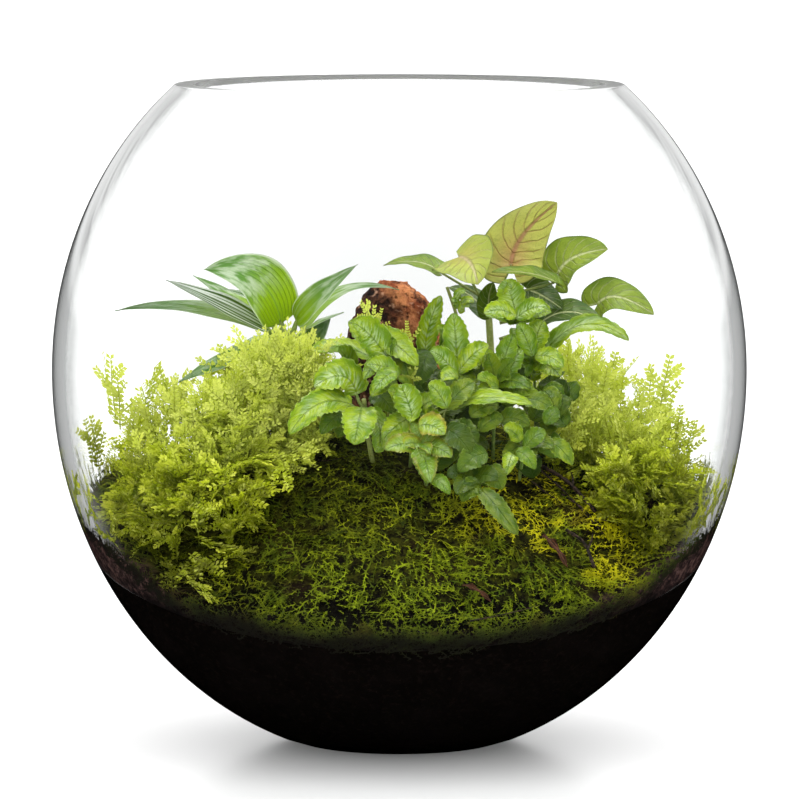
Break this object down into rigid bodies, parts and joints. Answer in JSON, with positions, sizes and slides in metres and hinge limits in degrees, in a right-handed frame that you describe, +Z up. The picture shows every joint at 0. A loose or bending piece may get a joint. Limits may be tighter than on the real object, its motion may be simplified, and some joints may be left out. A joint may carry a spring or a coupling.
{
  "type": "glass plant terrarium",
  "caption": "Round open glass bowl planted as a terrarium: dark soil under a moss mound, spikemoss clumps, a stone and three small leafy plants.",
  "frame": {"origin": "centre of the flat base, on the surface that the bowl stands on", "axes": "+Z up along the bowl's axis to its open rim, -Y towards the front, where the planting is lowest, +X to the right seen from the front"},
  "size_m": [0.3, 0.3, 0.285],
  "materials": {
    "glass": "clear polished glass with a ground flat rim",
    "soil": "damp dark crumbly soil",
    "moss": "matted feathery moss, dark green to gold",
    "spikemoss": "bright yellow-green fronds of tiny leaves",
    "stone": "rough pitted red-brown stone",
    "twig": "dark weathered bark",
    "dry_leaf": "dry matt red-brown leaf",
    "striped_leaf": "satin leaf, dark green with cream stripes",
    "arrow_leaf": "satin pale green leaf with pink and cream veins",
    "scalloped_leaf": "glossy light green leaf with a pale midrib",
    "stalk": "smooth fleshy green stem"
  },
  "bodies": {
    "root": {"glass_bowl": "glass", "soil": "soil", "moss_carpet": "moss", "stone": "stone", "spikemoss_left_front": "spikemoss", "spikemoss_left_back": "spikemoss", "spikemoss_left_crest": "spikemoss", "spikemoss_right_front": "spikemoss", "spikemoss_right_back": "spikemoss", "striped_stem": "stalk", "arrow_stem": "stalk", "vine_stem": "stalk", "front_stem": "stalk", "rear_stem": "stalk", "striped_leaf_broad": "striped_leaf", "striped_leaf_upright": "striped_leaf", "striped_leaf_low": "striped_leaf", "striped_leaf_white": "striped_leaf", "striped_leaf_behind": "striped_leaf", "striped_leaf_inner": "striped_leaf", "striped_leaf_short": "striped_leaf", "striped_leaf_long": "striped_leaf", "striped_leaf_shaded": "striped_leaf", "striped_leaf_under": "striped_leaf", "striped_leaf_back": "striped_leaf", "arrow_leaf_upright": "arrow_leaf", "arrow_leaf_folded": "arrow_leaf", "arrow_leaf_narrow": "arrow_leaf", "arrow_leaf_right": "arrow_leaf", "arrow_leaf_far_right": "arrow_leaf", "arrow_leaf_level": "arrow_leaf", "arrow_leaf_dark": "arrow_leaf", "arrow_leaf_low": "arrow_leaf", "arrow_leaf_inner": "arrow_leaf", "arrow_leaf_back": "arrow_leaf", "scalloped_leaf_left_high": "scalloped_leaf", "scalloped_leaf_left_long": "scalloped_leaf", "scalloped_leaf_left_down": "scalloped_leaf", "scalloped_leaf_left_small": "scalloped_leaf", "scalloped_leaf_rear_left": "scalloped_leaf", "scalloped_leaf_rear_high": "scalloped_leaf", "scalloped_leaf_rear_right": "scalloped_leaf", "scalloped_leaf_tall": "scalloped_leaf", "scalloped_leaf_far_long": "scalloped_leaf", "scalloped_leaf_middle_long": "scalloped_leaf", "scalloped_leaf_middle_dark": "scalloped_leaf", "scalloped_leaf_hanging": "scalloped_leaf", "shoot_centre": "scalloped_leaf", "shoot_low": "scalloped_leaf", "shoot_middle": "scalloped_leaf", "shoot_upper": "scalloped_leaf", "shoot_right": "scalloped_leaf", "shoot_glossy": "scalloped_leaf", "shoot_round": "scalloped_leaf", "shoot_creeping": "scalloped_leaf", "twig_long": "twig", "twig_short": "twig", "dry_leaf_right": "dry_leaf", "dry_leaf_centre": "dry_leaf"}
  },
  "joints": []
}
